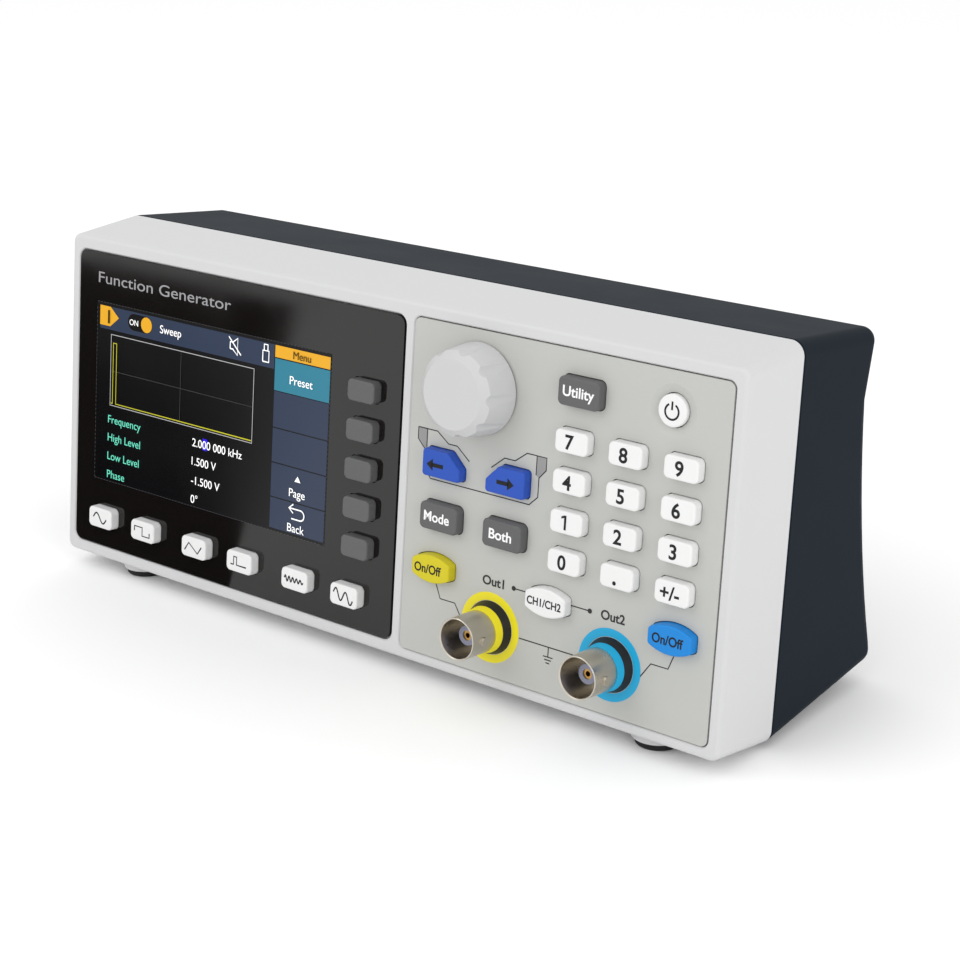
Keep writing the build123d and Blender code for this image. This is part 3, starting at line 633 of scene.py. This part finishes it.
class GENERATOR_OT_panel(bpy.types.Operator):
    """Finish the keypad panel and print its lines"""
    bl_idname = "generator.panel"
    bl_label = "Keypad panel"

    def execute(self, context):
        settings = context.scene.generator_print
        base = context.scene.generator_case.panel_colour
        paint(["keypad_panel"], plastic("panel_plastic", base, roughness=0.52, grain=0.55,
                                        grain_size=0.30, mottle=0.03))
        prints = [stroke(PANEL_LINES, settings.line)]
        prints += [disc(PANEL_DOT_R, x, z) for x, z in PANEL_DOTS]
        prints += [text(words, OUTPUT_WORD_HEIGHT, x, OUTPUT_WORD_Z, OUTPUT_WORD_WEIGHT, width=width)
                   for words, x, width in OUTPUT_WORDS]
        ink = printed("panel_ink", settings.line_colour)
        keep(joined(prints, INK), "panel_lines", "case", ink)
        shade = plastic("panel_shade", settings.shade_colour, roughness=0.5, grain=0.2)
        corners = [patch(corner) for corner in PANEL_CORNERS]
        keep(joined(corners, 0.0), "panel_corners", "case", shade)
        return {"FINISHED"}


class GENERATOR_OT_outputs(bpy.types.Operator):
    """Finish the two output connectors and print their rings"""
    bl_idname = "generator.outputs"
    bl_label = "Outputs"

    def execute(self, context):
        settings = context.scene.generator_print
        rings = [ring_paint("yellow_ring", settings.ring_1), ring_paint("blue_ring", settings.ring_2)]
        paint(["output_spacers"], black_plastic())
        paint(["output_1_shell", "output_2_shell", "output_nuts"], nickel())
        paint(["output_insulators"], insulator())
        paint(["output_contacts", "inlet_pins"], contact_brass())
        for number, ring in enumerate(rings):
            paint([f"output_{number + 1}_ring"], ring)
            band = disc(BAND_R, OUTPUT_X[number], OUTPUT_Z, hole=BAND_HOLE)
            keep(band, f"output_{number + 1}_band", "case", ring)
        return {"FINISHED"}


class GENERATOR_OT_keys(bpy.types.Operator):
    """Finish the keys and put their legends on them"""
    bl_idname = "generator.keys"
    bl_label = "Keys"

    def execute(self, context):
        settings = context.scene.generator_keys
        white = plastic("white_key", settings.white, roughness=0.38, grain=0.12, grain_size=0.3, mottle=0.01)
        grey = plastic("grey_key", settings.grey, roughness=0.48, grain=0.25, grain_size=0.3, mottle=0.04)
        numbers = [f"number_key_{name}" for name in NUMBERS]
        paint(list(WAVE_X) + numbers + ["channel_key", "power_button"], white)
        paint(SOFT_KEYS + ["utility_key", "mode_key", "both_key"], grey)
        paint(["left_key", "right_key"], coloured_key("blue_key", settings.blue))
        paint(["output_1_key"], coloured_key("yellow_key", settings.yellow))
        paint(["output_2_key"], coloured_key("sky_key", settings.sky))
        ink = printed("key_ink", settings.ink)
        number_legends(ink)
        wave_legends(ink)
        word_legends(PALE_WORDS, printed("pale_key_ink", (0.85, 0.85, 0.85)))
        word_legends(DARK_WORDS, ink)
        arrow_legends(ink)
        power_legend(ink)
        return {"FINISHED"}


class GENERATOR_OT_knob(bpy.types.Operator):
    """Finish the knob"""
    bl_idname = "generator.knob"
    bl_label = "Knob"

    def execute(self, context):
        base = context.scene.generator_keys.knob
        paint(["knob"], plastic("knob_plastic", base, roughness=0.45, grain=0.15, grain_size=0.3,
                                mottle=0.015))
        return {"FINISHED"}


class GENERATOR_OT_insides(bpy.types.Operator):
    """Finish the parts behind the front and at the back"""
    bl_idname = "generator.insides"
    bl_label = "Insides and sockets"

    def execute(self, context):
        bright = bpy.data.materials["bright_metal"]
        paint(["key_board", "main_board", "power_board"], circuit_board())
        paint(["key_mat"], plastic("silicone", (0.33, 0.33, 0.33), roughness=0.6, grain=0.2))
        paint(["lcd_panel"], plastic("screen_glass", (0.004, 0.004, 0.006), roughness=0.12, grain=0.02))
        paint(["lcd_frame", "encoder_body", "encoder_bushing", "encoder_nut", "encoder_shaft"], bright)
        paint(["usb_socket"], bpy.data.materials["nickel"])
        paint(["power_inlet"], bpy.data.materials["black_plastic"])
        return {"FINISHED"}


class GENERATOR_OT_stage(bpy.types.Operator):
    """Set up the floor, the lights and the camera"""
    bl_idname = "generator.stage"
    bl_label = "Stage"

    def execute(self, context):
        settings = context.scene.generator_stage
        self.floor()
        self.flag()
        self.light("key_light", KEY_LIGHT_PLACE, KEY_LIGHT_SIZE, settings.key_power)
        self.light("fill_light", FILL_LIGHT_PLACE, FILL_LIGHT_SIZE, settings.fill_power)
        self.surroundings(context.scene, settings.world)
        self.camera(context.scene, settings.lens)
        return {"FINISHED"}

    def stand(self, name, mesh, material):
        mesh.materials.append(material)
        obj = bpy.data.objects.new(name, mesh)
        bpy.context.scene.collection.objects.link(obj)
        return obj

    def floor(self):
        bm = bmesh.new()
        bmesh.ops.create_grid(bm, x_segments=1, y_segments=1, size=FLOOR_SIZE / 2)
        mesh = bpy.data.meshes.new("floor")
        bm.to_mesh(mesh)
        bm.free()
        obj = self.stand("floor", mesh, stage_paper("floor_paper", (0.97, 0.97, 0.97)))

    def flag(self):
        """A black card on the floor, seen only in reflections, that darkens the left of the window."""
        bm = bmesh.new()
        bm.faces.new([bm.verts.new((x, y, 0.0)) for x, y in FLAG_CORNERS])
        mesh = bpy.data.meshes.new("flag")
        bm.to_mesh(mesh)
        bm.free()
        card = self.stand("flag", mesh, stage_paper("flag_cloth", (0.002, 0.002, 0.002)))
        card.scale = (MM, MM, MM)
        card.location = (START[0], START[1], FLAG_HEIGHT)
        card.visible_camera = card.visible_diffuse = False
        card.visible_shadow = card.visible_transmission = False

    def light(self, name, place, size, power):
        data = bpy.data.lights.new(name, "AREA")
        data.shape, data.size, data.energy = "SQUARE", size, power
        lamp = bpy.data.objects.new(name, data)
        bpy.context.scene.collection.objects.link(lamp)
        lamp.location = place
        lamp.rotation_euler = (LIGHT_AIM - Vector(place)).to_track_quat("-Z", "Y").to_euler()

    def surroundings(self, scene, strength):
        world = bpy.data.worlds.new("studio")
        world.use_nodes = True
        background = world.node_tree.nodes["Background"]
        background.inputs["Color"].default_value = (1, 1, 1, 1)
        background.inputs["Strength"].default_value = strength
        scene.world = world
        scene.view_settings.view_transform = "Standard"

    def camera(self, scene, lens):
        camera = bpy.data.objects.new("camera", bpy.data.cameras.new("camera"))
        scene.collection.objects.link(camera)
        camera.data.lens = lens
        camera.data.sensor_width = CAMERA_SENSOR
        camera.data.shift_x, camera.data.shift_y = CAMERA_SHIFT
        camera.data.clip_start = CAMERA_NEAR
        camera.location = DESIGN @ CAMERA_PLACE
        facing = (DESIGN.to_3x3() @ CAMERA_FACING).normalized()
        camera.rotation_euler = facing.to_track_quat("-Z", "Y").to_euler()
        scene.camera = camera


class GENERATOR_PT_panel(bpy.types.Panel):
    """The generator's settings and steps"""
    bl_idname = "GENERATOR_PT_panel"
    bl_label = "Function Generator"
    bl_space_type = "VIEW_3D"
    bl_region_type = "UI"
    bl_category = "Generator"

    def draw(self, context):
        for group, owner in SETTINGS.items():
            box = self.layout.box()
            for name in owner.__annotations__:
                box.prop(getattr(context.scene, group), name)
        for operator in OPERATORS:
            self.layout.operator(operator.bl_idname)


SETTINGS = {
    "generator_case": GeneratorCaseSettings,
    "generator_keys": GeneratorKeySettings,
    "generator_print": GeneratorPrintSettings,
    "generator_screen": GeneratorScreenSettings,
    "generator_stage": GeneratorStageSettings,
}
OPERATORS = [
    GENERATOR_OT_case,
    GENERATOR_OT_window,
    GENERATOR_OT_screen,
    GENERATOR_OT_panel,
    GENERATOR_OT_outputs,
    GENERATOR_OT_keys,
    GENERATOR_OT_knob,
    GENERATOR_OT_insides,
    GENERATOR_OT_stage,
]
CLASSES = list(SETTINGS.values()) + OPERATORS + [GENERATOR_PT_panel]


def register():
    for owner in CLASSES:
        bpy.utils.register_class(owner)
    for name, owner in SETTINGS.items():
        setattr(bpy.types.Scene, name, PointerProperty(type=owner))


def unregister():
    for name in SETTINGS:
        delattr(bpy.types.Scene, name)
    for owner in reversed(CLASSES):
        bpy.utils.unregister_class(owner)


def main():
    register()
    for operator in OPERATORS:
        group, step = operator.bl_idname.split(".")
        getattr(getattr(bpy.ops, group), step)()


if __name__ == "__main__":
    main()
